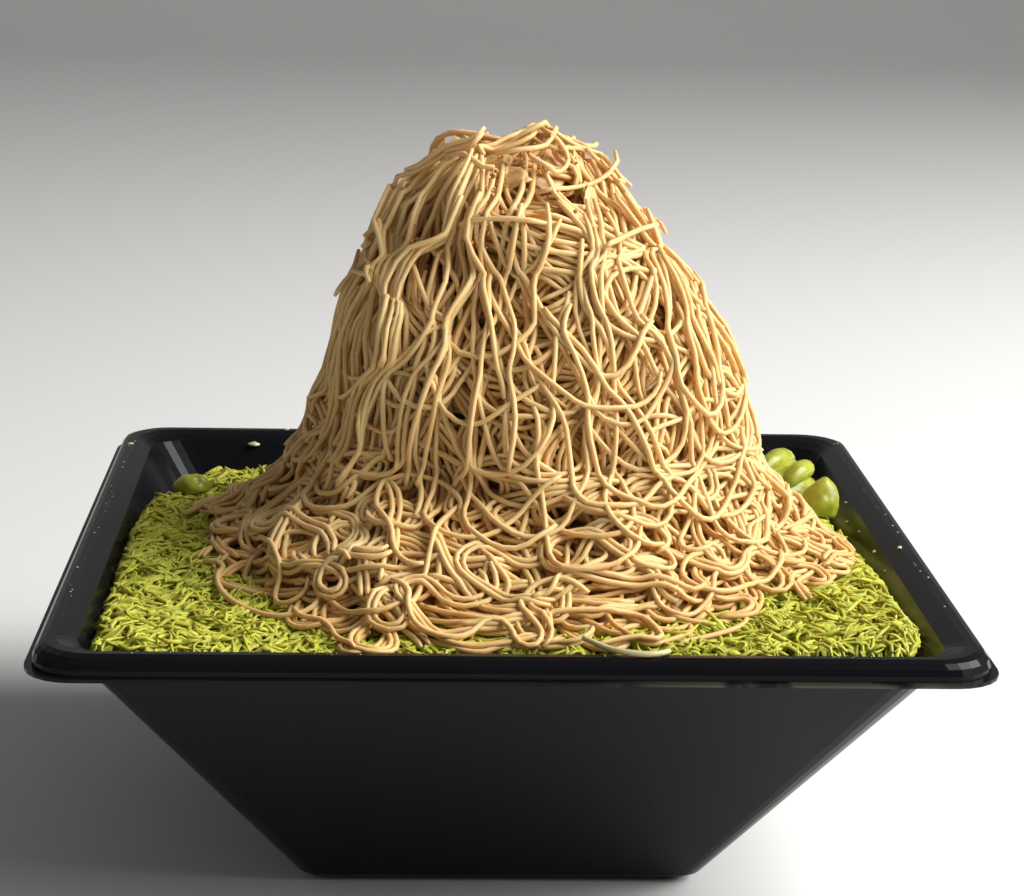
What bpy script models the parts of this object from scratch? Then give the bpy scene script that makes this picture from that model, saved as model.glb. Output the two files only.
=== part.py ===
"""Shaved ice dessert in a square black bowl.

A flared square bowl with a rolled lip holds a bed of green shaved ice. A tall heap of fine piped
strands stands on the ice, and three soft green pieces lie beside it. Each is one closed solid.

Lengths are in metres. +Z is up, the shown side faces -Y, and the origin is the middle of the foot.
"""

import math

import bmesh
import bpy
from mathutils import Vector, noise

MM = 0.001

# ---- Driving dimensions -------------------------------------------------------------------------
RIM_HALF = 95 * MM      # half of the bowl's width, over the lip's thin flange
BOWL_HEIGHT = 68 * MM   # from the table to the crest of the lip
WALL_LEAN = 0.694       # how far a wall moves in for each unit that it goes down
WALL_INSET = 5.5 * MM   # the outer wall, carried up to crest height, from the flange's edge
WALL_LEVEL = 2.4 * MM   # the wall's thickness, measured level
FLOOR = 2.4 * MM        # the floor's thickness
CORNER_SHARE = 0.105    # a ring's corner radius, as a share of its half width
FIT_GAP = 0.4 * MM      # air between two pieces that touch

INNER_INSET = WALL_INSET + WALL_LEVEL
ARC_STEPS = 6           # segments in each rounded corner of a ring
SIDE_STEPS = 6          # segments along each straight side of a ring


# ---- Shared shapes ------------------------------------------------------------------------------
def unit_ring():
    """Points round a square of half width 1 with rounded corners, anticlockwise from above."""
    centre = 1 - CORNER_SHARE
    quarter = [(1.0, centre * (2 * step / SIDE_STEPS - 1)) for step in range(SIDE_STEPS)]
    for step in range(ARC_STEPS):
        angle = math.pi / 2 * step / ARC_STEPS
        quarter.append((centre + CORNER_SHARE * math.cos(angle),
                        centre + CORNER_SHARE * math.sin(angle)))
    ring = []
    for _ in range(4):
        ring.extend(quarter)
        quarter = [(-y, x) for x, y in quarter]
    return ring


def square_ring(half, height):
    """One level ring of the bowl."""
    return [Vector((half * x, half * y, height)) for x, y in unit_ring()]


def loft(name, rings):
    """A closed solid skinned over rings of equally many points, with a flat cap on each end."""
    bm = bmesh.new()
    rows = [[bm.verts.new(point) for point in ring] for ring in rings]
    for row, following in zip(rows, rows[1:]):
        for i, corner in enumerate(row):
            after = (i + 1) % len(row)
            bm.faces.new((corner, row[after], following[after], following[i]))
    bm.faces.new(rows[0])
    bm.faces.new(rows[-1])
    bmesh.ops.recalc_face_normals(bm, faces=bm.faces)
    mesh = bpy.data.meshes.new(name)
    bm.to_mesh(mesh)
    bm.free()
    return mesh


def finish(name, mesh, colour, roughness, sharp_degrees=60):
    """Adds the mesh as one named, smooth-shaded piece with its own material."""
    mesh.shade_smooth()
    mesh.set_sharp_from_angle(angle=math.radians(sharp_degrees))
    material = bpy.data.materials.new(name)
    material.use_nodes = True
    shader = material.node_tree.nodes["Principled BSDF"]
    shader.inputs["Base Color"].default_value = (*colour, 1.0)
    shader.inputs["Roughness"].default_value = roughness
    shader.inputs["Metallic"].default_value = 0.0
    mesh.materials.append(material)
    piece = bpy.data.objects.new(name, mesh)
    dessert.objects.link(piece)
    return piece


def around(angle_degrees, bumps):
    """Sum of smooth bumps round a circle. A bump is (direction, width, height), in degrees."""
    total = 0.0
    for direction, width, height in bumps:
        off = (angle_degrees - direction + 180) % 360 - 180
        total += height * math.exp(-((off / width) ** 2))
    return total


def heading(x, y):
    """Direction of a point from the bowl's axis, in degrees: 0 is right, 90 back, 270 front."""
    return math.degrees(math.atan2(y, x))


# ---- Bowl ---------------------------------------------------------------------------------------
def inner_half(depth):
    """Half width inside the walls, at a depth below the lip's crest."""
    return RIM_HALF - INNER_INSET - WALL_LEAN * depth


def make_bowl():
    """The moulded bowl: one skin from the foot up the outside, over the lip and down inside."""
    foot_half = RIM_HALF - WALL_INSET - WALL_LEAN * BOWL_HEIGHT
    floor_depth = BOWL_HEIGHT - FLOOR
    foot_round = 2.2 * MM
    wall_top = 4.4 * MM
    outside = [
        (foot_half - foot_round, BOWL_HEIGHT),
        (foot_half - 0.3 * foot_round, BOWL_HEIGHT - 0.3 * foot_round),
        (foot_half + WALL_LEAN * foot_round, BOWL_HEIGHT - foot_round),
        (RIM_HALF - WALL_INSET - WALL_LEAN * wall_top, wall_top),
    ]
    # The lip's section, as (inset from the flange's edge, depth below the crest) in millimetres:
    # its underside from the wall outwards, the thin flange, then its rounded back to the crest.
    lip_section = [(7.2, 2.6), (6.2, 1.7), (4.6, 1.5), (3.4, 2.0), (2.8, 3.2), (2.7, 4.7),
                   (0.0, 4.7), (0.0, 4.0), (1.3, 4.0), (1.4, 2.8), (1.8, 1.5), (2.6, 0.5),
                   (3.8, 0.0), (5.6, 0.1), (7.4, 0.8)]
    lip = [(RIM_HALF - inset * MM, depth * MM) for inset, depth in lip_section]
    shoulder = 2.0 * MM
    floor_round = 3.0 * MM
    inside = [
        (inner_half(shoulder), shoulder),
        (inner_half(floor_depth - floor_round), floor_depth - floor_round),
        (inner_half(floor_depth) - 0.3 * floor_round, floor_depth - 0.3 * floor_round),
        (inner_half(floor_depth) - floor_round, floor_depth),
    ]
    rings = [square_ring(half, BOWL_HEIGHT - depth) for half, depth in outside + lip + inside]
    return finish("bowl", loft("bowl", rings), (0.010, 0.010, 0.012), 0.25, sharp_degrees=40)


# ---- Green shaved ice ---------------------------------------------------------------------------
BED_REACH = 82 * MM     # the ice's top has its edge height from this far out
BED_MIDDLE = 3 * MM     # height of the ice's top in the middle, above the lip's crest


def contact_depth(angle):
    """Depth at which the ice leaves the wall: shallow in front and on the left, deep elsewhere."""
    return MM * (4.5 + around(angle, [(0, 38, 6.0), (90, 40, 5.5), (136, 20, 11.0)]))


def edge_height(angle):
    """Height of the ice's top near the walls, above the lip's crest."""
    return MM * (-2.4 + around(angle, [(-28, 26, 3.0), (28, 20, -3.0), (90, 34, -3.2),
                                       (136, 22, -4.0), (180, 20, 1.6)]))


def ice_height(x, y):
    """Height of the ice's top above the lip's crest, with soft humps."""
    share = min(1.0, math.hypot(x, y) / BED_REACH) ** 2
    hump = 1.1 * MM * noise.noise(Vector((x, y, 0.0)) / (17 * MM))
    return BED_MIDDLE * (1 - share) + edge_height(heading(x, y)) * share + hump * share


def make_ice():
    """The bed of shaved ice. It fills the bowl and rises from the walls with its own edge."""
    floor_depth = BOWL_HEIGHT - FLOOR - FIT_GAP
    foot_half = inner_half(floor_depth) - 3.6 * MM
    wall_half = inner_half(floor_depth - 4 * MM) - FIT_GAP
    rings = [square_ring(foot_half, BOWL_HEIGHT - floor_depth),
             square_ring(wall_half, BOWL_HEIGHT - floor_depth + 4 * MM)]
    contact, shoulder, edge = [], [], []
    for x, y in unit_ring():
        angle = heading(x, y)
        depth = contact_depth(angle)
        half = inner_half(depth) - FIT_GAP
        top = edge_height(angle)
        contact.append(Vector((half * x, half * y, BOWL_HEIGHT - depth)))
        out = half - 0.6 * MM
        shoulder.append(Vector((out * x, out * y, BOWL_HEIGHT + top - 0.25 * (top + depth))))
        out = half - 2.2 * MM
        edge.append(Vector((out * x, out * y, BOWL_HEIGHT + ice_height(out * x, out * y))))
    rings += [contact, shoulder, edge]
    for share in (0.94, 0.88, 0.82, 0.75, 0.67, 0.58, 0.48, 0.36, 0.22, 0.08):
        ring = []
        for point in edge:
            x, y = share * point.x, share * point.y
            ring.append(Vector((x, y, BOWL_HEIGHT + ice_height(x, y))))
        rings.append(ring)
    return finish("green_ice", loft("green_ice", rings), (0.42, 0.50, 0.07), 0.45)


# ---- Heap of strands ----------------------------------------------------------------------------
HEAP_SECTORS = 48

# The heap's outline from its top down: (height above the lip's crest, radius, shift to the right),
# in millimetres. The lowest rings give way to the foot's own reach.
HEAP_OUTLINE = [(92, 4, 3.5), (90, 9, 3), (86.5, 14, 1.5), (82, 20, 0), (76, 25.5, 0.2), (69, 30, 1),
                (60, 35.7, 2.3), (48, 42, 4.6), (35, 47, 5.6), (24, 50.8, 5.3), (16, 56.3, 3.8),
                (10, 63, 2), (6, 70, 1)]
SPREAD_FROM = 24        # below this height, in millimetres, the foot spreads unevenly
FOOT_EDGE = 1.6 * MM    # the foot's thickness at its edge


def foot_reach(angle):
    """How far the strands reach over the ice, from the bowl's axis."""
    return MM * (76 + around(angle, [(-26, 26, 6), (40, 24, -8), (90, 30, -5), (150, 20, -5),
                                     (180, 18, -4), (245, 16, 14), (270, 14, 5), (297, 14, 11)]))


def under_heap(x, y):
    """The underside of the heap, just clear of the ice."""
    return ice_height(x, y) + 2 * FIT_GAP


def heap_ring(height, radius, shift):
    """One ring of the heap's outer face, with the low dents and bulges of hanging strands."""
    height, radius, shift = height * MM, radius * MM, shift * MM
    spread = max(0.0, 1 - height / (SPREAD_FROM * MM))
    ring = []
    for sector in range(HEAP_SECTORS):
        angle = 360 * sector / HEAP_SECTORS
        facing = Vector((math.cos(math.radians(angle)), math.sin(math.radians(angle)), 0.0))
        dent = noise.noise(facing * 1.7 + Vector((0.0, 0.0, height / (22 * MM))))
        reach = radius * (1 + 0.045 * dent) + spread * (foot_reach(angle) - 76 * MM)
        x, y = reach * facing.x + shift, reach * facing.y
        top = max(height, under_heap(x, y) + 2 * FOOT_EDGE)
        ring.append(Vector((x, y, BOWL_HEIGHT + top)))
    return ring


def foot_ring(share, lift):
    """A ring over the ice, at a share of the foot's reach and lifted off the heap's underside."""
    ring = []
    for sector in range(HEAP_SECTORS):
        angle = 360 * sector / HEAP_SECTORS
        reach = share * foot_reach(angle)
        x, y = reach * math.cos(math.radians(angle)), reach * math.sin(math.radians(angle))
        ring.append(Vector((x, y, BOWL_HEIGHT + under_heap(x, y) + lift)))
    return ring


def make_heap():
    """The heap of piped strands, one solid out to its uneven outline."""
    rings = [heap_ring(*level) for level in HEAP_OUTLINE]
    rings.append(foot_ring(1.0, FOOT_EDGE))
    for share in (1.0, 0.93, 0.86, 0.78, 0.69, 0.59, 0.48, 0.36, 0.22, 0.08):
        rings.append(foot_ring(share, 0.0))
    return finish("strand_heap", loft("strand_heap", rings), (0.62, 0.41, 0.19), 0.5)


# ---- Soft green pieces --------------------------------------------------------------------------
def make_soft_piece(name, centre, radii, tip=0.0, lean=(0.0, 0.0), rough=0.10, seed=0.0):
    """A soft lump lying on the ice, its underside settled onto it. tip draws its top to a peak."""
    bm = bmesh.new()
    bmesh.ops.create_uvsphere(bm, u_segments=24, v_segments=14, radius=1.0)
    for vertex in bm.verts:
        at = vertex.co.copy()
        swell = 1 + rough * noise.noise(at * 1.3 + Vector((seed, 0.0, 0.0)))
        narrow = 1 - tip * max(0.0, at.z) ** 1.5
        x = centre[0] + radii[0] * at.x * swell * narrow + lean[0] * at.z
        y = centre[1] + radii[1] * at.y * swell * narrow + lean[1] * at.z
        z = centre[2] + radii[2] * at.z * swell
        vertex.co = (x, y, BOWL_HEIGHT + max(z, ice_height(x, y) + 2 * FIT_GAP))
    bmesh.ops.recalc_face_normals(bm, faces=bm.faces)
    mesh = bpy.data.meshes.new(name)
    bm.to_mesh(mesh)
    bm.free()
    return finish(name, mesh, (0.30, 0.34, 0.03), 0.18)


def make_soft_pieces():
    """The round lump on the right, the soft fold behind it, and the lump at the back left."""
    make_soft_piece("lump_right", (77.0 * MM, 25.0 * MM, -0.6 * MM), (4.5 * MM, 4.8 * MM, 6.2 * MM),
                    tip=0.42, lean=(1.2 * MM, 0.0), seed=3.0)
    make_soft_piece("fold_back_right", (69.5 * MM, 44.5 * MM, -1.0 * MM),
                    (8.8 * MM, 11.0 * MM, 5.8 * MM), tip=0.10, rough=0.16, seed=8.0)
    make_soft_piece("lump_back_left", (-72.5 * MM, 43.0 * MM, -2.6 * MM),
                    (4.4 * MM, 3.6 * MM, 2.7 * MM), tip=0.15, rough=0.16, seed=5.0)


# ---- Build --------------------------------------------------------------------------------------
for old in list(bpy.data.objects):
    bpy.data.objects.remove(old, do_unlink=True)
dessert = bpy.data.collections.new("shaved_ice_dessert")
bpy.context.scene.collection.children.link(dessert)

make_bowl()
make_ice()
make_heap()
make_soft_pieces()
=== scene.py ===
"""Shaved ice dessert in a square black bowl: green shaved ice under a tall heap of piped strands."""

import math
import random

import bmesh
import bpy
import numpy as np
from mathutils import Matrix, Vector, noise
from mathutils.bvhtree import BVHTree


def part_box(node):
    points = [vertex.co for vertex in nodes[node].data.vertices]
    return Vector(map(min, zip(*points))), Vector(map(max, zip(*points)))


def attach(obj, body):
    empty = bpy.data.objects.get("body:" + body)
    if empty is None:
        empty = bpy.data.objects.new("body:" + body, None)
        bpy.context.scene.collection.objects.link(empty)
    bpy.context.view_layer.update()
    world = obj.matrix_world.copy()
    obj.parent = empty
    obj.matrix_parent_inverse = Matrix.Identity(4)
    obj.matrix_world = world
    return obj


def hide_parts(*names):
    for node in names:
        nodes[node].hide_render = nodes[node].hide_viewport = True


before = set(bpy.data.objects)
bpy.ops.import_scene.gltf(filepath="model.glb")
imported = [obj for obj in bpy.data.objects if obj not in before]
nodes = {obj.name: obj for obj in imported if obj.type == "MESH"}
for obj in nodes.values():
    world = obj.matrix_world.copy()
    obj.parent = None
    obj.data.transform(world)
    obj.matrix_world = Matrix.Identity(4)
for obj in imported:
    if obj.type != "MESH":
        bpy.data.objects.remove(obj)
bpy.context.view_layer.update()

MM = 0.001
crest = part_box("bowl")[1].z          # height of the lip's crest over the table
rim_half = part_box("bowl")[1].x       # half of the bowl's width over the lip

scene = bpy.context.scene
scene.view_settings.view_transform = "Standard"


# ---- Camera -------------------------------------------------------------------------------------
# A long lens set a little above the bowl's lip, a touch to the left of the middle, so that the front
# lip covers the near edge of the food and the whole heap stands clear above it.
camera_data = bpy.data.cameras.new("camera")
camera_data.sensor_width = 36.0
camera_data.lens = 90.4
camera = bpy.data.objects.new("camera", camera_data)
scene.collection.objects.link(camera)
scene.camera = camera
camera_place = Vector((-24.4 * MM, -560.0 * MM, crest + 159.1 * MM))
camera_turn = Matrix.Rotation(math.radians(-2.75), 4, "Z")
camera_tip = Matrix.Rotation(math.radians(90 - 14.09), 4, "X")
camera_roll = Matrix.Rotation(math.radians(1.30), 4, "Z")
camera.matrix_world = Matrix.Translation(camera_place) @ camera_turn @ camera_tip @ camera_roll


# ---- Shader maths, floor and light --------------------------------------------------------------
# A plain pale floor that runs up into a backdrop, a large soft lamp from the upper right as the main
# light, a much weaker one from the left, and a dim, even white world.
class Wire:
    """A shader socket. Arithmetic on wires adds Math nodes, and node() adds any other node."""

    def __init__(self, tree, socket=None):
        self.tree = tree
        self.socket = socket

    def node(self, kind, settings=None, inputs=None, output=0):
        """Adds a node: its settings first, then the values or links of its sockets."""
        added = self.tree.nodes.new(kind)
        for name, value in (settings or {}).items():
            if name == "stops":
                ramp = added.color_ramp
                while len(ramp.elements) < len(value):
                    ramp.elements.new(1.0)
                for element, (position, level) in zip(ramp.elements, value):
                    element.position = position
                    element.color = (level, level, level, 1.0)
            else:
                setattr(added, name, value)
        for name, value in (inputs or {}).items():
            if isinstance(value, Wire):
                self.tree.links.new(value.socket, added.inputs[name])
            else:
                added.inputs[name].default_value = value
        return Wire(self.tree, added.outputs[output])

    def math(self, operation, first, second):
        return self.node("ShaderNodeMath", {"operation": operation}, {0: first, 1: second})

    def __add__(self, other):
        return self.math("ADD", self, other)

    __radd__ = __add__

    def __mul__(self, other):
        return self.math("MULTIPLY", self, other)

    __rmul__ = __mul__

    def __rsub__(self, other):
        return self.math("SUBTRACT", other, self)

    def steps(self, *stops):
        """A ramp over this value: stops are (position, level)."""
        return self.node("ShaderNodeValToRGB", {"stops": stops}, {0: self})

    def between(self, low, high):
        """0 below low, 1 above high, smooth between."""
        return self.node("ShaderNodeMapRange", {"interpolation_type": "SMOOTHSTEP"},
                         {"Value": self, "From Min": low, "From Max": high})

    def tint(self, first, second):
        """The colour first where this mask is 0, second where it is 1."""
        colours = {0: self, 6: (*first, 1.0), 7: (*second, 1.0)}
        return self.node("ShaderNodeMix", {"data_type": "RGBA"}, colours, 2)


def new_finish(name, **constants):
    """A material. Returns it with a wire for its tree, its object-space place and its shader."""
    material = bpy.data.materials.new(name)
    material.use_nodes = True
    tree = material.node_tree
    shader = tree.nodes["Principled BSDF"]
    for socket, value in constants.items():
        shader.inputs[socket.replace("_", " ")].default_value = value
    wire = Wire(tree)
    place = wire.node("ShaderNodeTexCoord", output="Object")
    return material, wire, place, shader


def noise_on(place, size, detail=2.0, roughness=0.5):
    """Soft noise in 0..1 whose lumps are about size metres across."""
    return place.node("ShaderNodeTexNoise", None,
                      {"Vector": place, "Scale": 1.0 / size, "Detail": detail, "Roughness": roughness})


def feed(shader, **wires):
    """Links wires to the shader's sockets."""
    for socket, wire in wires.items():
        wire.tree.links.new(wire.socket, shader.inputs[socket.replace("_", " ")])


FLOOR_COLOUR = (0.80, 0.79, 0.77, 1.0)
BACKDROP_RISE = 3.0          # metres, which is also half of the floor's width
FLOOR_BACK = 2.9             # what lies further back than this is the floor's back edge
floor_mesh = bmesh.new()
bmesh.ops.create_grid(floor_mesh, x_segments=1, y_segments=1, size=BACKDROP_RISE)
sweep = [edge for edge in floor_mesh.edges if all(v.co.y > FLOOR_BACK for v in edge.verts)]
risen = bmesh.ops.extrude_edge_only(floor_mesh, edges=sweep)["geom"]
bmesh.ops.translate(floor_mesh, vec=(0.0, 0.0, BACKDROP_RISE),
                    verts=[part for part in risen if isinstance(part, bmesh.types.BMVert)])
bend = [edge for edge in floor_mesh.edges
        if all(v.co.y > FLOOR_BACK and v.co.z < 0.1 for v in edge.verts)]
bmesh.ops.bevel(floor_mesh, geom=bend, offset=1.2, segments=16, affect="EDGES", profile=0.5,
                material=-1)
floor_data = bpy.data.meshes.new("floor")
floor_mesh.to_mesh(floor_data)
floor_mesh.free()
floor_data.shade_smooth()
floor = bpy.data.objects.new("floor", floor_data)
scene.collection.objects.link(floor)
floor_finish, wire, place, shader = new_finish("pale_floor", Roughness=0.75)
shader.inputs["Base Color"].default_value = FLOOR_COLOUR
floor_data.materials.append(floor_finish)


def soft_lamp(name, place, target, width, power):
    """A white square area lamp at a place, turned to a target."""
    data = bpy.data.lights.new(name, "AREA")
    data.shape = "SQUARE"
    data.size = width
    data.energy = power
    lamp = bpy.data.objects.new(name, data)
    scene.collection.objects.link(lamp)
    lamp.location = place
    lamp.rotation_euler = (Vector(target) - Vector(place)).to_track_quat("-Z", "Y").to_euler()


soft_lamp("main_lamp", (1.00, -0.15, 0.90), (0.0, 0.0, 0.08), 1.1, 38.0)
soft_lamp("left_lamp", (-1.2, -0.9, 0.9), (0.0, 0.0, 0.08), 0.9, 0.4)

world = bpy.data.worlds.new("even_light")
world.use_nodes = True
scene.world = world
world.node_tree.nodes["Background"].inputs["Color"].default_value = (1.0, 1.0, 1.0, 1.0)
world.node_tree.nodes["Background"].inputs["Strength"].default_value = 0.14


# ---- Bowl ---------------------------------------------------------------------------------------
# A moulded bowl of black plastic with a soft gloss and a rolled lip, cast in one piece. The CAD shape
# stays. A thin dried film of grey-green syrup lies along the right half of the front lip's lower edge.
bowl_black = (0.005, 0.005, 0.0065)
syrup_film = (0.075, 0.095, 0.062)
bowl_finish, wire, place, shader = new_finish("black_plastic", IOR=1.4, Specular_IOR_Level=0.2)
across = wire.node("ShaderNodeSeparateXYZ", None, {"Vector": place})
away = Wire(wire.tree, across.socket.node.outputs["Y"])
up = Wire(wire.tree, across.socket.node.outputs["Z"])
right_half = across.between(10 * MM, 40 * MM) * (1 - across.between(80 * MM, 92 * MM))
front_only = 1 - away.between(-rim_half + 5 * MM, -rim_half + 8 * MM)
low_on_lip = up.between(crest - 7.4 * MM, crest - 6.6 * MM)
low_on_lip = low_on_lip * (1 - up.between(crest - 4.6 * MM, crest - 3.6 * MM))
film_edge = noise_on(place, 9 * MM, 3.0).between(0.34, 0.48)
film = right_half * front_only * low_on_lip * film_edge
smear = noise_on(place, 34 * MM, 4.0, 0.6).between(0.50, 0.72)
fine = noise_on(place, 0.7 * MM, 2.0)
feed(shader,
     Base_Color=film.tint(bowl_black, syrup_film),
     Roughness=0.20 + 0.10 * smear + 0.25 * film + 0.04 * fine,
     Normal=wire.node("ShaderNodeBump", None, {"Strength": 0.06, "Distance": 0.15 * MM,
                                               "Height": fine}))
bowl = nodes["bowl"]
for material_slot in bowl.material_slots:
    material_slot.material = bowl_finish


# ---- Shaved ice bed -----------------------------------------------------------------------------
# Shaved ice soaked with green syrup, packed into the bowl. The bed is a lumpy core, and the curved,
# tapered shreds that the blade leaves lie all over it in felted patches.
def looking_down(node):
    """A search tree over a CAD node's surface."""
    mesh = node.data
    return BVHTree.FromPolygons([v.co for v in mesh.vertices], [p.vertices for p in mesh.polygons])


ice_tree = looking_down(nodes["green_ice"])


def ice_level(x, y, missing=None):
    """Height of the ice's top under a point, from the CAD bed."""
    hit = ice_tree.ray_cast(Vector((x, y, crest + 0.05)), Vector((0.0, 0.0, -1.0)))[0]
    return hit.z if hit else missing


def solid_from(name, bm, finish):
    """A piece from a bmesh, with its material, riding on the dessert's only body."""
    bmesh.ops.recalc_face_normals(bm, faces=bm.faces)
    mesh = bpy.data.meshes.new(name)
    bm.to_mesh(mesh)
    bm.free()
    mesh.shade_smooth()
    mesh.materials.append(finish)
    piece = bpy.data.objects.new(name, mesh)
    scene.collection.objects.link(piece)
    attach(piece, "root")
    return piece


# The darker green is the ice's own darker green and also the painted shade of shreds that lie low in the
# bed.
green_dark_and_shade = (0.24, 0.25, 0.012)
green_bright = (0.55, 0.545, 0.075)
ice_finish, wire, place, shader = new_finish("green_ice_shreds", Subsurface_Weight=0.15,
                                             Subsurface_Scale=0.002, IOR=1.31)
mottle = noise_on(place, 9 * MM, 3.0)
shred_tone_and_shade = wire.node("ShaderNodeAttribute", {"attribute_name": "tone"}, output="Fac")
mixed = (0.55 * shred_tone_and_shade + 0.55 * mottle).between(0.15, 0.85)
wet = noise_on(place, 3.0 * MM, 2.0)
feed(shader,
     Base_Color=mixed.tint(green_dark_and_shade, green_bright),
     Roughness=wet.steps((0.35, 0.12), (0.65, 0.42)),
     Normal=wire.node("ShaderNodeBump", None, {"Strength": 0.12, "Distance": 0.2 * MM,
                                               "Height": noise_on(place, 0.9 * MM, 1.0)}))


def ice_lump(x, y):
    """Rise or dip of the loose bed over its mean level."""
    at = Vector((x, y, 0.0))
    return (1.7 * noise.noise(at / (8 * MM)) + 0.9 * noise.noise(at / (3.4 * MM))) * MM


def held_back(y):
    """How far the ice keeps off the right wall: up to 5 mm towards its front corner."""
    return 5 * MM * max(0.0, min(1.0, (-y / MM - 60) / 20))


CORE_DROP = 1.4 * MM          # the core's top lies this far under the bed's outline
LUMPY_DEPTH = 13.5 * MM       # the core is uneven down to this depth under the crest
bed = bmesh.new()
bed.from_mesh(nodes["green_ice"].data)
bmesh.ops.remove_doubles(bed, verts=bed.verts, dist=0.00002)
top_faces = [face for face in bed.faces if face.calc_center_median().z > crest - LUMPY_DEPTH]
top_edges = list({edge for face in top_faces for edge in face.edges})
bmesh.ops.subdivide_edges(bed, edges=top_edges, cuts=2, use_grid_fill=True)
for vertex in bed.verts:
    at = vertex.co
    if at.z > crest - LUMPY_DEPTH:
        inward = Vector((-at.x, -at.y, 0.0)).normalized()
        lift = Vector((0.0, 0.0, ice_lump(at.x, at.y) - CORE_DROP))
        vertex.co = at + lift + inward * 0.8 * MM
        if vertex.co.x > 40 * MM:
            vertex.co.x -= held_back(at.y)
core_finish, wire, place, shader = new_finish("green_ice_core", Roughness=0.25,
                                              Subsurface_Weight=0.15, Subsurface_Scale=0.002)
feed(shader,
     Base_Color=noise_on(place, 5 * MM, 3.0).between(0.3, 0.7).tint((0.15, 0.155, 0.006),
                                                                     (0.36, 0.37, 0.035)),
     Normal=wire.node("ShaderNodeBump", None, {"Strength": 0.5, "Distance": 0.8 * MM,
                                               "Height": noise_on(place, 2.2 * MM, 3.0)}))
ice_core = solid_from("ice_core", bed, core_finish)
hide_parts("green_ice")


def tubes(name, strands, thickness, finish, ring=1, flat=0.0):
    """Joined tubes through lists of points. A strand is (points, widths, tone); its ends are closed.

    flat makes each tube a ribbon that is wider by twice this, lying on its side.
    """
    curve = bpy.data.curves.new(name, "CURVE")
    curve.dimensions = "3D"
    curve.twist_mode = "Z_UP" if flat else "MINIMUM"
    curve.bevel_depth = thickness / 2
    curve.bevel_resolution = ring
    curve.extrude = flat
    for points, widths, _ in strands:
        spline = curve.splines.new("POLY")
        spline.points.add(len(points) - 1)
        spline.points.foreach_set("co", np.c_[points, np.ones(len(points))].ravel())
        spline.points.foreach_set("radius", np.asarray(widths, dtype=float))
        if flat:
            spline.points.foreach_set("tilt", np.full(len(points), math.pi / 2))
    holder = bpy.data.objects.new(name, curve)
    scene.collection.objects.link(holder)
    evaluated = holder.evaluated_get(bpy.context.evaluated_depsgraph_get())
    mesh = bpy.data.meshes.new_from_object(evaluated)
    bpy.data.objects.remove(holder, do_unlink=True)
    sides = len(mesh.vertices) // sum(len(points) for points, _, _ in strands)
    tones = np.concatenate([np.broadcast_to(np.asarray(tone, dtype=float), (len(points),))
                            for points, _, tone in strands])
    mesh.attributes.new("tone", "FLOAT", "POINT").data.foreach_set("value", np.repeat(tones, sides))
    bm = bmesh.new()
    bm.from_mesh(mesh)
    bpy.data.meshes.remove(mesh)
    open_edges = [edge for edge in bm.edges if edge.is_boundary]
    bmesh.ops.holes_fill(bm, edges=open_edges, sides=12)
    return solid_from(name, bm, finish)


SHRED_WIDTH = 0.85 * MM
SHRED_COUNT = 10400
FLAKE_COUNT = 1500
picker = random.Random(41)
heap_tree = looking_down(nodes["strand_heap"])
wall_lean = 0.694                       # inward lean of the bowl's walls
wall_top_half = rim_half - 7.9 * MM     # the inner wall, carried up to the crest


def inner_half(z):
    """Half width inside the bowl's walls at a height."""
    return wall_top_half - wall_lean * (crest - z)


def under_heap(x, y, margin):
    """True where the heap covers the ice by more than a margin all round."""
    for step in range(6):
        angle = step * math.pi / 3
        start = Vector((x + margin * math.cos(angle), y + margin * math.sin(angle), crest + 0.12))
        if heap_tree.ray_cast(start, Vector((0.0, 0.0, -1.0)))[0] is None:
            return False
    return True


def one_shred(shortest, longest, low, high):
    """One curved shred lying on the bed, or None where it would be hidden."""
    x = picker.uniform(-84, 84) * MM
    y = picker.uniform(-86, 80) * MM
    top = ice_level(x, y)
    if top is None or under_heap(x, y, 17 * MM):
        return None
    flow = 2.6 * math.pi * noise.noise(Vector((x, y, 0.0)) / (22 * MM))
    angle = flow + picker.gauss(0.0, 1.0)
    length = picker.uniform(shortest, longest) * MM
    lift = picker.uniform(low, high) * MM
    pitch = picker.gauss(0.0, 0.22)
    turn = picker.gauss(0.0, 1.3)
    points = []
    for step in range(5):
        along = length * (step / 4 - 0.5)
        bend = angle + turn * (step / 4 - 0.5)
        px = x + along * math.cos(bend)
        py = y + along * math.sin(bend)
        level = ice_level(px, py, top - 3 * MM) + ice_lump(px, py) - 0.5 * MM
        pz = level + lift + along * pitch - 0.5 * MM * (abs(step - 2) / 2) ** 2
        limit = inner_half(pz) - 0.7 * MM
        right_limit = limit - held_back(py)
        points.append((max(-limit, min(right_limit, px)), max(-limit, min(limit, py)), pz))
    stout = picker.uniform(0.65, 1.35)
    widths = [0.35 * stout, 0.95 * stout, 1.05 * stout, 0.85 * stout, 0.3 * stout]
    clump = 0.5 + 0.9 * noise.noise(Vector((x, y, 0.0)) / (5 * MM))
    # The tone is partly random and clumped, and partly painted shade: shreds that lie lower are darker.
    tone = max(0.0, min(1.0, 0.45 * picker.random() + 0.35 * clump + 0.2 * (lift / MM + 1)))
    return points, widths, tone


shreds = []
while len(shreds) < SHRED_COUNT:
    shred = one_shred(3.0, 9.5, -0.9, 0.9)
    if shred:
        shreds.append(shred)
half_count = SHRED_COUNT // 2
for index, share in enumerate((shreds[:half_count], shreds[half_count:])):
    piece = tubes("ice_shreds_%d" % (index + 1), share, SHRED_WIDTH, ice_finish, ring=0)
flakes = []
while len(flakes) < FLAKE_COUNT:
    flake = one_shred(2.2, 5.5, -0.6, 0.7)
    if flake:
        flakes.append(flake)
ice_flakes = tubes("ice_flakes", flakes, 0.35 * MM, ice_finish, ring=0, flat=0.65 * MM)


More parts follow.
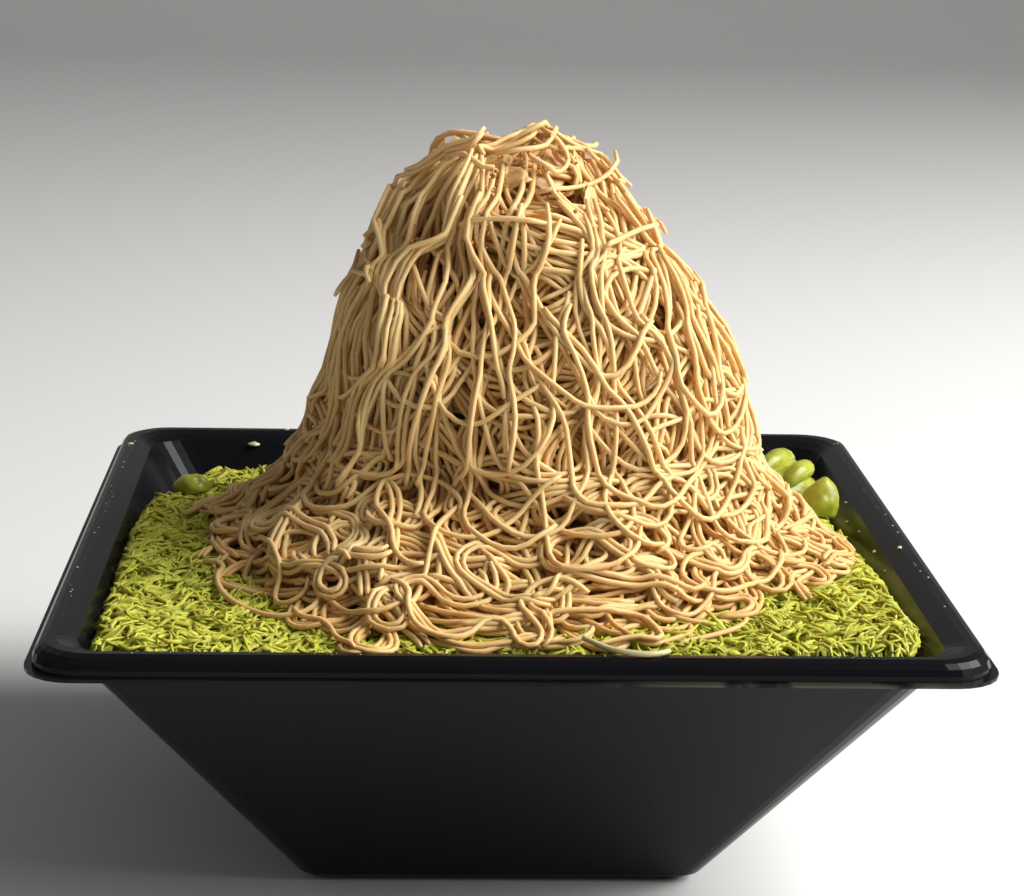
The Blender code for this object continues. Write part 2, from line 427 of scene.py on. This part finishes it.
# ---- Heap core ----------------------------------------------------------------------------------
# The strands are piped on top of each other until the heap stands. Under the loose outer strands the
# paste is matted together: the core is that matted mass. It lies well inside the heap's outline, and
# deeper still on the left, where long strands hang over it, in front under the crown, and at its neck.
STRAND = 1.2 * MM
MATTED_DEPTH = 8.0 * MM       # the core lies about this deep under the heap's outline
CROWN_DEPTH = 3.4 * MM        # and this deep under its top, where the paste is smeared together
HOLLOWS = 2.2 * MM            # the matted mass has hollows and humps of about this depth
SECTORS = 120
heap_middle = Vector((3.0 * MM, 0.0, crest + 6 * MM))


def heap_profile(sector):
    """Points from the core's top down its side and on along the ice, and the heap's reach there."""
    angle = 2 * math.pi * sector / SECTORS
    out = Vector((math.cos(angle), math.sin(angle), 0.0))
    profile = []
    heap_reach = 0.0
    on_core = True
    for step in range(64):
        rise = 90 - 96 * step / 63
        ray = out * math.cos(math.radians(rise)) + Vector((0.0, 0.0, math.sin(math.radians(rise))))
        hit, normal = heap_tree.ray_cast(heap_middle, ray)[:2]
        if hit is None or normal.z < -0.5:
            break
        heap_reach = math.hypot(hit.x - heap_middle.x, hit.y - heap_middle.y)
        crown_share = max(0.0, min(1.0, (rise - 62) / 20))
        hollow = HOLLOWS * noise.noise(hit / (12 * MM))
        hung_side = 4.5 * MM * max(0.0, -out.x) * max(0.0, min(1.0, rise / 12, (90 - rise) / 16))
        under_crown = 3.0 * MM * math.exp(-((angle - math.radians(255)) / 0.4) ** 2
                                          - ((rise - 50) / 13) ** 2)
        depth = MATTED_DEPTH + (CROWN_DEPTH - MATTED_DEPTH) * crown_share
        neck = 2.2 * MM * math.exp(-((rise - 66) / 22) ** 2)
        depth += hollow + hung_side + under_crown + neck
        inset = hit - normal * depth
        level = ice_level(inset.x, inset.y, crest)
        on_core = on_core and inset.z > level + 0.2 * MM
        if on_core:
            profile.append(inset)
    last = profile[-1]
    reach = math.hypot(last.x - heap_middle.x, last.y - heap_middle.y)
    while reach < 118 * MM:
        reach += 1.5 * MM
        point = heap_middle + out * reach
        limit = inner_half(crest) - 1.0 * MM
        point.x = max(-limit, min(limit, point.x))
        point.y = max(-limit, min(limit, point.y))
        point.z = ice_level(point.x, point.y, crest - 2.5 * MM)
        profile.append(point)
    return profile, heap_reach


SPACING = 1.0 * MM      # arc length between rows of the lay surface
ROWS = 150
TURN = 2 * math.pi
surface = np.zeros((SECTORS, ROWS, 3))
foot_arc = np.zeros(SECTORS)         # arc length from the core's top to the heap's foot
for sector in range(SECTORS):
    profile, heap_reach = heap_profile(sector)
    profile = np.array([tuple(point) for point in profile])
    lengths = np.r_[0.0, np.cumsum(np.linalg.norm(np.diff(profile, axis=0), axis=1))]
    wanted = np.arange(ROWS) * SPACING
    for axis in range(3):
        surface[sector, :, axis] = np.interp(wanted, lengths, profile[:, axis])
    far = np.hypot(profile[:, 0] - heap_middle.x, profile[:, 1] - heap_middle.y)
    foot_arc[sector] = lengths[np.argmax(far >= min(heap_reach, far.max() - 0.5 * MM))]
foot_arc = 0.5 * foot_arc + 0.25 * (np.roll(foot_arc, 1) + np.roll(foot_arc, -1))
surface[:, 0] = surface[:, 0].mean(axis=0)
for _ in range(3):
    surface[:, 1:-1] = 0.5 * surface[:, 1:-1] + 0.25 * (surface[:, :-2] + surface[:, 2:])
    averaged = 0.25 * (np.roll(surface, 1, axis=0) + np.roll(surface, -1, axis=0)) + 0.5 * surface
    surface[:, 1:] = averaged[:, 1:]
along_turn = np.roll(surface, -1, axis=0) - np.roll(surface, 1, axis=0)
down_side = np.gradient(surface, axis=1)
normals = np.cross(down_side, along_turn)
normals[:, 0] = (0.0, 0.0, 1.0)
normals /= np.maximum(np.linalg.norm(normals, axis=2, keepdims=True), 1e-12)
reach = np.linalg.norm(surface[:, :, :2] - np.array(heap_middle[:2]), axis=2)


def lookup(table, theta, down):
    """Values of a table at azimuths and arc lengths, blended between its entries."""
    sector = (theta / TURN * SECTORS) % SECTORS
    row = np.clip(down / SPACING, 0.0, ROWS - 1.001)
    here = sector.astype(int) % SECTORS
    beside = (here + 1) % SECTORS
    above = row.astype(int)
    turn_share = sector - np.floor(sector)
    row_share = row - above
    if table.ndim == 3:
        turn_share = turn_share[:, None]
        row_share = row_share[:, None]
    near = table[here, above] * (1 - row_share) + table[here, above + 1] * row_share
    far = table[beside, above] * (1 - row_share) + table[beside, above + 1] * row_share
    return near * (1 - turn_share) + far * turn_share


def foot_at(theta):
    """Arc length from the top to the heap's foot at azimuths."""
    return np.interp(theta % TURN, np.arange(SECTORS + 1) * TURN / SECTORS,
                     np.r_[foot_arc, foot_arc[0]])


# The matted core's darker, browner colour is partly painted shade: it stands for the shade deep in the
# gaps between the strands.
core_paste, wire, place, shader = new_finish("matted_paste", Roughness=0.45, Subsurface_Weight=0.15,
                                             Subsurface_Scale=0.002)
lumpy = noise_on(place, 2.2 * MM, 2.0)
feed(shader,
     Base_Color=noise_on(place, 5 * MM, 3.0).between(0.3, 0.7).tint((0.50, 0.27, 0.07),
                                                                     (0.70, 0.43, 0.16)),
     Normal=wire.node("ShaderNodeBump", None, {"Strength": 0.5, "Distance": 0.6 * MM,
                                               "Height": lumpy}))
# The core runs on along the ice past the row where it first comes down to it.
core = bmesh.new()
foot_row = 10
while foot_row < ROWS - 3 and surface[:, foot_row, 2].min() > crest + 0.6 * MM:
    foot_row += 1
rings = []
for row in range(1, foot_row + 14, 3):
    ring = []
    for sector in range(0, SECTORS, 2):
        at = Vector(surface[sector, row])
        lump = noise.noise(at / (4.5 * MM)) * 0.7 * MM
        ring.append(core.verts.new(at + Vector(normals[sector, row]) * (lump - 0.6 * MM)))
    rings.append(ring)
loops = []
for ring in rings:
    loops.append([core.edges.new((ring[i - 1], ring[i])) for i in range(len(ring))])
for upper, lower in zip(loops, loops[1:]):
    bmesh.ops.bridge_loops(core, edges=upper + lower)
for rim in (loops[0], loops[-1]):
    bmesh.ops.edgeloop_fill(core, edges=rim)
heap_core = solid_from("heap_core", core, core_paste)
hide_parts("strand_heap")


# ---- Strands ------------------------------------------------------------------------------------
# Fine strands of nut paste, piped through small holes. Each is laid on what is already there: its path
# is a walk over the heap's side, its height is settled over the strands below, and then it adds to them.
CELL = 0.5 * MM
GRID = int(2 * ROWS * SPACING / CELL) + 4
PRESS = 0.32            # share of a strand's width that it sinks into the soft strand below
piled = np.zeros((GRID, GRID), dtype=np.float32)     # height of the pile over the lay surface


def cells(theta, down):
    """Grid cells for azimuths and arc lengths on the unrolled surface."""
    column = ((down * np.cos(theta)) / CELL + GRID / 2).astype(int)
    line = ((down * np.sin(theta)) / CELL + GRID / 2).astype(int)
    return np.clip(column, 0, GRID - 1), np.clip(line, 0, GRID - 1)


def smoothed(values, reach_steps):
    """Values averaged over a soft window of some steps each way."""
    kernel = np.exp(-2.0 * (np.arange(-reach_steps, reach_steps + 1) / reach_steps) ** 2)
    return np.convolve(np.pad(values, reach_steps, mode="edge"), kernel / kernel.sum(), mode="valid")


def beside(theta, down):
    """Side step of one metre, as changes of azimuth and arc length, along a path."""
    radius = np.maximum(lookup(reach, theta, down), 2.0 * MM)
    pace_down = np.gradient(down)
    pace_turn = np.gradient(np.unwrap(theta)) * radius
    pace = np.maximum(np.hypot(pace_down, pace_turn), 1e-9)
    return pace_down / pace / radius, -pace_turn / pace


def settle(theta, down, width, stiff, lift):
    """Lays one strand over the pile and adds it. Returns its points in space."""
    theta = np.unwrap(theta)
    steps = np.arange(len(theta))
    fine = np.linspace(0, len(theta) - 1, (len(theta) - 1) * 4 + 1)
    east = np.interp(fine, steps, down * np.cos(theta))
    north = np.interp(fine, steps, down * np.sin(theta))
    fine_theta = np.arctan2(north, east)
    fine_down = np.hypot(east, north)
    side_turn, side_down = beside(fine_theta, fine_down)
    half = width / 2
    need = np.zeros(len(fine))
    for offset in (-0.5, 0.0, 0.5):
        shift = offset * half
        spot = cells(fine_theta + side_turn * shift, fine_down + side_down * shift)
        need = np.maximum(need, piled[spot] + half * math.sqrt(1 - offset * offset))
    need = need + lift
    height = need
    for _ in range(4):
        height = np.maximum(smoothed(height, stiff), need - PRESS * width)
    height = smoothed(height, 3)
    for offset in np.linspace(-0.7, 0.7, 5):
        shift = offset * half
        spot = cells(fine_theta + side_turn * shift, fine_down + side_down * shift)
        np.maximum.at(piled, spot, height - lift + half * math.sqrt(1 - offset * offset))
    coarse = height[::4]
    return lookup(surface, theta, down) + lookup(normals, theta, down) * coarse[:, None], coarse


def walk(seed, theta, down, heading, lengths, pace, steer, calm, hold, tight=120.0, loose=12.0):
    """Paths over the heap's side for many strands at once, as azimuths and arc lengths.

    A heading is measured from straight down. steer gives the wanted heading and how hard it pulls.
    A strand runs in stretches: a share of them, calm, are nearly straight, with a bend of about loose
    and a length of about hold, and the others are curls with a bend of about tight.
    """
    chance = np.random.default_rng(seed)
    count = len(theta)
    theta, down, heading = theta.copy(), down.copy(), heading.copy()
    paths = [[(theta[i], down[i])] for i in range(count)]
    slope = np.gradient(reach, axis=1) / SPACING
    bend = np.zeros(count)
    hand = chance.choice((-1.0, 1.0), count)
    wanted_bend = np.zeros(count)
    left = np.zeros(count)
    for step in range(int(max(lengths) / pace)):
        spent = left <= 0
        straight = chance.random(count) < calm
        hand = np.where(spent & (chance.random(count) < 0.8), -hand, hand)
        curl = hand * tight * chance.uniform(0.5, 1.4, count)
        drawn = np.where(straight, chance.normal(0.0, loose, count), curl)
        stretch = np.where(straight, hold * chance.uniform(0.5, 1.6, count),
                           chance.uniform(1.8, 3.8, count) / np.abs(curl))
        wanted_bend = np.where(spent, drawn, wanted_bend)
        left = np.where(spent, stretch, left) - pace
        bend += (wanted_bend - bend) * (1 - math.exp(-pace / (1.6 * MM)))
        radius = np.maximum(lookup(reach, theta, down), 4 * MM)
        target, pull = steer(step * pace, theta, down, heading)
        turn = bend - lookup(slope, theta, down) * np.sin(heading) / radius
        heading = heading + (turn + pull * np.sin(target - heading)) * pace
        down = np.maximum(down + pace * np.cos(heading), 3 * MM)
        theta = theta + pace * np.sin(heading) / radius
        for i in np.nonzero(step * pace < lengths)[0]:
            paths[i].append((theta[i], down[i]))
    return [np.array(path) for path in paths]


def bundled(paths, seed, most):
    """Each path with up to most - 1 more strands stuck beside it, which part from it in places."""
    chance = np.random.default_rng(seed)
    strands = []
    for path in paths:
        if len(path) < 8:
            continue
        strands.append(path)
        hand = chance.choice((-1.0, 1.0))
        for copy in range(1, chance.integers(1, most + 1)):
            theta, down = np.unwrap(path[:, 0]), path[:, 1]
            side_turn, side_down = beside(theta, down)
            sway = np.cumsum(chance.normal(0.0, 0.09, len(path)))
            away = hand * STRAND * (copy * 1.04 + np.maximum(sway - sway.min() - 0.35, 0.0))
            first, last = chance.integers(0, 4), len(path) - chance.integers(0, 4)
            twin = np.c_[theta + side_turn * away, np.maximum(down + side_down * away, 2 * MM)]
            strands.append(twin[first:last])
    return strands


def lay_strands(name, paths, seed, stiff=8, lift=None):
    """Settles paths one after another and joins them as one piece. lift is a height along a strand."""
    chance = np.random.default_rng(seed)
    strands = []
    for path in paths:
        slid_off = path[:, 1] > foot_at(path[:, 0]) + 1.5 * MM
        if slid_off.any():
            path = path[:np.argmax(slid_off)]
        if len(path) < 5:
            continue
        width = STRAND * chance.uniform(0.92, 1.08)
        raised = 0.0
        if lift is not None:
            raised = lift(np.linspace(0.0, 1.0, (len(path) - 1) * 4 + 1)) * chance.uniform(0.3, 1.0)
        points, height = settle(path[:, 0], path[:, 1], width, stiff, raised)
        widths = width / STRAND * (1 + 0.05 * np.sin(np.arange(len(points)) * chance.uniform(0.3, 0.9)))
        widths[0] *= 0.7
        widths[-1] *= 0.7
        # The tone is partly random and partly painted shade: strands that lie deeper in the pile get the
        # darker tan.
        tone = 0.45 * chance.random() + 0.55 * np.clip(height / MATTED_DEPTH, 0.0, 1.0)
        strands.append((points, widths, tone))
    piece = tubes(name, strands, STRAND, strand_finish)
    return piece


# The darker tan is the strands' own tan and also the painted shade of the deeper strands.
strand_light = (0.82, 0.555, 0.245)
strand_tan_and_shade = (0.70, 0.415, 0.14)
strand_finish, wire, place, shader = new_finish("nut_paste_strands", Subsurface_Weight=0.2,
                                                Subsurface_Scale=0.003, IOR=1.36)
strand_tone_and_shade = wire.node("ShaderNodeAttribute", {"attribute_name": "tone"}, output="Fac")
# The mask mixes painted shade of the deeper strands with random tone.
shade_mask = (0.80 * strand_tone_and_shade + 0.35 * noise_on(place, 7 * MM, 2.0)).between(0.12, 0.85)
feed(shader,
     Base_Color=shade_mask.tint(strand_tan_and_shade, strand_light),
     Roughness=noise_on(place, 4 * MM, 2.0).steps((0.3, 0.36), (0.7, 0.52)),
     Normal=wire.node("ShaderNodeBump", None, {"Strength": 0.10, "Distance": 0.1 * MM,
                                               "Height": noise_on(place, 1.3 * MM, 2.0)}))


def spread(count, seed, low, high):
    """Random values between two limits."""
    return np.random.default_rng(seed).uniform(low, high, count)


def wound(seed, count, highest, lowest):
    """Strands wound round the heap, which end above its foot."""
    turned = np.where(spread(count, seed + 3, 0, 1) < 0.5, 1.4, -1.4)
    paths = walk(seed, spread(count, seed + 1, 0, TURN), spread(count, seed + 2, highest, lowest),
                 turned + spread(count, seed + 4, -0.3, 0.3),
                 spread(count, seed + 5, 45 * MM, 110 * MM), 3 * MM,
                 lambda length, theta, down, heading: (np.sign(np.sin(heading)) * 1.5, 14.0),
                 0.85, 22 * MM, tight=60.0, loose=14.0)
    kept = []
    for path in paths:
        low = path[:, 1] > foot_at(path[:, 0]) - 12 * MM
        kept.append(path[:np.argmax(low)] if low.any() else path)
    return bundled(kept, seed + 6, 3)


# The inner strands are wound round the heap.
lay_strands("wound_strands", wound(101, 140, 14 * MM, 84 * MM), 7)

# The lower side is a tangle of loose loops that slides out over the ice. A loop that comes near its
# own limit, short of the heap's foot, turns back.
count = 370
start = spread(count, 12, 0, TURN)
room = spread(count, 16, 0.5 * MM, 19 * MM)


def keep_on_heap(length, theta, down, heading):
    """Turns a strand back where it has slid too near the heap's foot."""
    past = down > foot_at(theta) - room
    return np.where(np.sin(heading) > 0, 2.5, -2.5), np.where(past, 230.0, 0.0)


curls = walk(11, start, foot_at(start) - room - 42 * MM * spread(count, 13, 0, 1) ** 1.4,
             spread(count, 14, 0, TURN), spread(count, 15, 40 * MM, 105 * MM), 1.8 * MM,
             keep_on_heap, 0.5, 14 * MM, tight=215.0, loose=32.0)
curls = bundled(curls, 18, 2)
half_way = len(curls) // 2
lay_strands("curled_strands_low", curls[:half_way], 17, stiff=6)

# More strands are wound round the heap over the first of these loops.
lay_strands("outer_wound_strands", wound(111, 62, 16 * MM, 58 * MM), 118)


# Long strands hang from the crown over the shoulder, thinly on the front.
count = 165
start = spread(count, 22, 0, TURN)
on_front = (start > math.radians(236)) & (start < math.radians(308))
start = np.where(on_front & (spread(count, 26, 0, 1) < 0.8), start - math.radians(80), start)
room = spread(count, 29, 8 * MM, 34 * MM)


def straight_down(length, theta, down, heading):
    """Pulls a hanging strand down the slope, and round in a loop where it meets the tangle."""
    past = down > foot_at(theta) - room
    away = np.where(np.sin(heading) > 0, 2.5, -2.5)
    return np.where(past, away, 0.0), np.where(past, 150.0, 22.0)


hanging = walk(21, start, 8 * MM + 40 * MM * spread(count, 23, 0, 1),
               spread(count, 24, -0.35, 0.35), spread(count, 25, 45 * MM, 100 * MM), 3 * MM,
               straight_down, 0.85, 24 * MM, tight=50.0, loose=16.0)
lay_strands("hanging_strands", bundled(hanging, 28, 3), 27, stiff=14)
lay_strands("curled_strands_high", curls[half_way:], 19, stiff=8)

# Some strands fall half way down the front, turn in a wide loop and climb again.
count = 46
fall = spread(count, 31, 22 * MM, 58 * MM)
loop_side = np.where(spread(count, 32, 0, 1) < 0.5, -1.0, 1.0)


def looping(length, theta, down, heading):
    """Down until the fall is used up, then round and up to one side."""
    turned = length > fall
    return np.where(turned, loop_side * 2.7, 0.0), np.where(turned, 150.0, 20.0)


loops_down = walk(33, spread(count, 34, math.radians(200), math.radians(345)),
                  spread(count, 35, 22 * MM, 52 * MM), spread(count, 36, -0.5, 0.5),
                  fall + spread(count, 37, 24 * MM, 50 * MM), 2.6 * MM, looping, 1.0, 25 * MM,
                  loose=14.0)
lay_strands("looped_strands", loops_down, 38, stiff=12)


# ---- Crown --------------------------------------------------------------------------------------
# Where the piping ended the paste is smeared into soft flat dabs. Strands arch off it over the left
# shoulder, short ends and small loops stick up, and toasted brown crumbs cling to it.
def on_pile(theta, down, extra=0.0):
    """A place on top of the pile and the direction out of it."""
    theta, down = np.array([theta]), np.array([down])
    out = lookup(normals, theta, down)[0]
    level = float(piled[cells(theta, down)][0]) + extra
    return Vector(lookup(surface, theta, down)[0] + out * level), Vector(out)


def end_lifted(share):
    """Height over the pile, for shares of a strand's length: its end stands up."""
    return 2.6 * MM * np.maximum(share - 0.45, 0.0) ** 1.5 / 0.55 ** 1.5


def humped(share):
    """Height over the pile: the strand's middle stands up."""
    return 2.2 * MM * np.sin(np.pi * share)


def arched(share):
    """Height over the pile: the strand arches in its first half."""
    return 2.4 * MM * np.sin(np.pi * np.clip(share / 0.45, 0.0, 1.0))


count = 26
room = np.full(count, 12 * MM)
arches = walk(41, spread(count, 42, math.radians(160), math.radians(262)),
              spread(count, 43, 9 * MM, 22 * MM), spread(count, 44, -0.2, 0.2),
              spread(count, 45, 45 * MM, 85 * MM), 3 * MM, straight_down, 1.0, 30 * MM, loose=9.0)
lay_strands("arched_strands", arches, 46, stiff=10, lift=arched)
count = 11
knot = walk(57, spread(count, 58, math.radians(-110), math.radians(70)),
            spread(count, 59, 3 * MM, 12 * MM), spread(count, 60, 0, TURN),
            spread(count, 61, 9 * MM, 20 * MM), 1.6 * MM,
            lambda length, theta, down, heading: (math.pi + 0.0 * theta, 60.0), 0.3, 9 * MM, tight=220.0,
            loose=30.0)
lay_strands("top_loops", knot, 62, stiff=5, lift=humped)
count = 44
ends = walk(51, spread(count, 52, 0, TURN), 5 * MM + 42 * MM * spread(count, 53, 0, 1) ** 1.5,
            spread(count, 54, -2.0, 2.0), spread(count, 55, 9 * MM, 24 * MM), 2.2 * MM,
            lambda length, theta, down, heading: (0.0 * theta, 0.0), 0.6, 12 * MM, tight=140.0,
            loose=30.0)
lay_strands("loose_ends", ends, 56, stiff=5, lift=end_lifted)

dab_finish, wire, place, shader = new_finish("smeared_paste", Subsurface_Weight=0.18,
                                             Subsurface_Scale=0.002)
toasted = noise_on(place, 3.2 * MM, 3.0).between(0.50, 0.68)
feed(shader,
     Base_Color=toasted.tint((0.68, 0.43, 0.17), (0.50, 0.27, 0.08)),
     Roughness=0.40 + 0.15 * toasted,
     Normal=wire.node("ShaderNodeBump", None, {"Strength": 0.3, "Distance": 0.3 * MM,
                                               "Height": noise_on(place, 1.4 * MM, 3.0)}))
# Dabs: azimuth in degrees, arc length, length, width and thickness in millimetres, turn in degrees.
DABS = [(239, 15, 13, 8, 1.6, 20), (262, 17, 10, 6, 1.5, 10),
        (295, 14, 12, 8, 1.6, 40), (318, 24, 12, 6, 1.4, 60), (60, 9, 9, 7, 1.6, 0),
        (120, 12, 10, 6, 1.6, 50), (335, 15, 9, 5, 1.6, 80), (256, 23, 8, 4, 1.2, 100)]
dabs = bmesh.new()
for azimuth, arc, long, wide, thick, turn in DABS:
    centre, out = on_pile(math.radians(azimuth), arc * MM, -1.2 * MM)
    facing = out.to_track_quat("Z", "Y").to_matrix().to_4x4()
    spin = Matrix.Rotation(math.radians(turn), 4, "Z")
    size = Matrix.Diagonal((long * MM / 2, wide * MM / 2, thick * MM / 2, 1.0))
    made = bmesh.ops.create_uvsphere(dabs, u_segments=28, v_segments=16, radius=1.0)["verts"]
    for vertex in made:
        ragged = 1 + 0.45 * noise.noise(vertex.co * 1.9 + Vector((azimuth, arc, 0.0)))
        ragged += 0.14 * noise.noise(vertex.co * 5.0 + Vector((arc, azimuth, 0.0)))
        vertex.co = Vector((vertex.co.x * ragged, vertex.co.y * ragged, vertex.co.z * ragged))
    bmesh.ops.transform(dabs, matrix=Matrix.Translation(centre) @ facing @ spin @ size, verts=made)
crown_dabs = solid_from("crown_dabs", dabs, dab_finish)

crumb_finish, wire, place, shader = new_finish("toasted_crumbs", Roughness=0.55)
feed(shader, Base_Color=noise_on(place, 1.5 * MM).between(0.35, 0.65).tint((0.66, 0.36, 0.14),
                                                                           (0.44, 0.18, 0.05)))
# Crumb clusters: azimuth in degrees, arc length in millimetres, crumbs, spread in millimetres.
CRUMBS = [(208, 13, 34, 1.1), (267, 14, 44, 1.4), (256, 20, 30, 1.3), (222, 31, 40, 1.3),
          (254, 29, 34, 1.6), (354, 31, 12, 0.7), (80, 15, 24, 2.5), (150, 24, 20, 2.0),
          (262, 18, 24, 6.0)]
crumbs = bmesh.new()
picker = random.Random(61)
for azimuth, arc, number, scatter in CRUMBS:
    for _ in range(number):
        down = max(4.0, arc + picker.gauss(0, scatter)) * MM
        theta = math.radians(azimuth) + picker.gauss(0, scatter) * MM / max(down, 5 * MM)
        centre, out = on_pile(theta, down, 0.25 * MM)
        size = picker.uniform(0.28, 0.62) * MM
        squash = Matrix.Diagonal((size, size * picker.uniform(0.6, 1.0), size * 0.7, 1.0))
        turned = Matrix.Rotation(picker.uniform(0, TURN), 4, Vector((1.0, picker.random(), 0.5)))
        made = bmesh.ops.create_icosphere(crumbs, subdivisions=1, radius=1.0)["verts"]
        bmesh.ops.transform(crumbs, matrix=Matrix.Translation(centre) @ turned @ squash, verts=made)
crown_crumbs = solid_from("crown_crumbs", crumbs, crumb_finish)


# ---- Strand over the lip ------------------------------------------------------------------------
# One wet strand, which lets a little light through, has slipped off the heap and lies over the front
# of the bowl's lip.
slipped_finish, wire, place, shader = new_finish("wet_strand", Transmission_Weight=0.15, IOR=1.36,
                                                 Roughness=0.22)
shader.inputs["Base Color"].default_value = (0.72, 0.66, 0.33, 1.0)
slipped_route = [(13, -82.5, 1.2), (15.5, -85.5, 0.9), (18, -88.2, 0.65), (21.5, -90.6, 0.70),
                 (25.5, -91.4, 0.68), (28.5, -90.3, 0.66), (29.8, -88.4, 0.50), (29.2, -86.2, -0.6)]
route = np.array(slipped_route) * MM + np.array((0.0, 0.0, crest))
along = np.linspace(0, len(route) - 1, 40)
slipped = np.stack([smoothed(np.interp(along, np.arange(len(route)), route[:, axis]), 4)
                    for axis in range(3)], axis=1)
slipped_strand = tubes("slipped_strand", [(slipped, np.full(40, 1.0), 0.5)], STRAND, slipped_finish)


# ---- Soft green pieces --------------------------------------------------------------------------
# Smooth soft paste, more olive than the ice: a drawn-up drop on the right, a folded dab behind it and
# a low dab at the back left. Each is grown from its CAD solid and lies on the ice near a wall.
paste_finish, wire, place, shader = new_finish("green_paste", Subsurface_Weight=0.15,
                                               Subsurface_Scale=0.002, IOR=1.4, Coat_Roughness=0.15)
shader.inputs["Coat Weight"].default_value = 0.15
feed(shader,
     Base_Color=noise_on(place, 7 * MM, 2.0).between(0.3, 0.7).tint((0.17, 0.19, 0.008),
                                                                    (0.42, 0.44, 0.045)),
     Roughness=noise_on(place, 3 * MM, 2.0).steps((0.35, 0.24), (0.7, 0.40)),
     Normal=wire.node("ShaderNodeBump", None, {"Strength": 0.08, "Distance": 0.3 * MM,
                                               "Height": noise_on(place, 2.0 * MM, 1.0)}))


def soft_green(name, node, swell, lump_size):
    """A soft piece grown from its CAD solid, with lumps and folds of a given size."""
    bm = bmesh.new()
    bm.from_mesh(nodes[node].data)
    bmesh.ops.remove_doubles(bm, verts=bm.verts, dist=0.00002)
    bmesh.ops.subdivide_edges(bm, edges=bm.edges[:], cuts=1, use_grid_fill=True, smooth=0.4)
    bm.normal_update()
    for vertex in bm.verts:
        lump = noise.noise(vertex.co / lump_size) + 0.3 * noise.noise(vertex.co / (0.4 * lump_size))
        vertex.co += vertex.normal * lump * swell
    piece = solid_from(name, bm, paste_finish)
    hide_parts(node)


soft_green("drop_right", "lump_right", 0.9 * MM, 4.5 * MM)
soft_green("dab_back_right", "fold_back_right", 1.5 * MM, 4.5 * MM)
soft_green("dab_back_left", "lump_back_left", 0.4 * MM, 4.0 * MM)
FOLDS = [[(64, 37, 3.0), (67, 41, 5.0), (70, 45, 5.4), (72.5, 49, 4.2), (73.5, 52.5, 1.6)],
         [(70, 34.5, 0.6), (73, 37.5, 3.2), (76, 41.5, 3.6), (77, 46, 2.2)]]
folds = []
for fold in FOLDS:
    route = np.array(fold) * MM + np.array((0.0, 0.0, crest))
    along = np.linspace(0, len(route) - 1, 22)
    points = np.stack([smoothed(np.interp(along, np.arange(len(route)), route[:, axis]), 3)
                       for axis in range(3)], axis=1)
    folds.append((points, 0.25 + np.sin(np.linspace(0.1, math.pi - 0.1, 22)) ** 0.5 * 0.9, 0.5))
fold_piece = tubes("folds_back_right", folds, 4.4 * MM, paste_finish, ring=4)


# ---- Drops and crumbs on the bowl ---------------------------------------------------------------
# Splashes of pale green syrup and ice crumbs have dried on the lip and stuck to the inner walls.
splash_finish, wire, place, shader = new_finish("dried_splash", Roughness=0.30)
feed(shader, Base_Color=noise_on(place, 2.5 * MM).between(0.3, 0.7).tint((0.36, 0.42, 0.20),
                                                                         (0.62, 0.66, 0.46)))
splashes = bmesh.new()
picker = random.Random(71)


def splash(x, y, z, size):
    """One small flattened drop centred on a place, in millimetres over the crest."""
    flat = 0.35
    made = bmesh.ops.create_icosphere(splashes, subdivisions=2, radius=1.0)["verts"]
    for vertex in made:
        vertex.co *= 1 + 0.35 * noise.noise(vertex.co * 1.4 + Vector((x, y, z)))
    stretch = picker.uniform(0.6, 1.0)
    shape = Matrix.Diagonal((size * MM, size * stretch * MM, size * flat * MM, 1.0))
    spin = Matrix.Rotation(picker.uniform(0, TURN), 4, "Z")
    place_at = Matrix.Translation(Vector((x * MM, y * MM, crest + z * MM)))
    bmesh.ops.transform(splashes, matrix=place_at @ spin @ shape, verts=made)


for x, y, z, size in [(-90.3, 73, 0.1, 0.9), (-52, 90, 0.1, 0.8), (-60, 84.6, -2.6, 1.6),
                      (60, 90.5, 0.1, 0.9), (66, 90.2, 0.05, 0.6), (88.8, -14, 0.0, 0.8),
                      (71, 90.4, 0.0, 0.5), (85.2, 34, -2.8, 0.7), (84.6, 12, -3.8, 0.6),
                      (84.9, -6, -3.3, 0.9), (84.7, -20, -3.6, 0.6), (83.9, 24, -4.8, 0.7)]:
    splash(x, y, z, size)
for _ in range(34):
    splash(picker.uniform(-84, 84), -rim_half / MM + picker.uniform(4.2, 5.6), 0.02,
           picker.uniform(0.10, 0.22))
for _ in range(22):
    splash(-rim_half / MM + picker.uniform(4.2, 5.6), picker.uniform(-60, 84), 0.02,
           picker.uniform(0.12, 0.34))
for _ in range(16):
    splash(rim_half / MM - picker.uniform(4.2, 5.6), picker.uniform(-60, 84), 0.02,
           picker.uniform(0.12, 0.30))
bowl_splashes = solid_from("bowl_splashes", splashes, splash_finish)
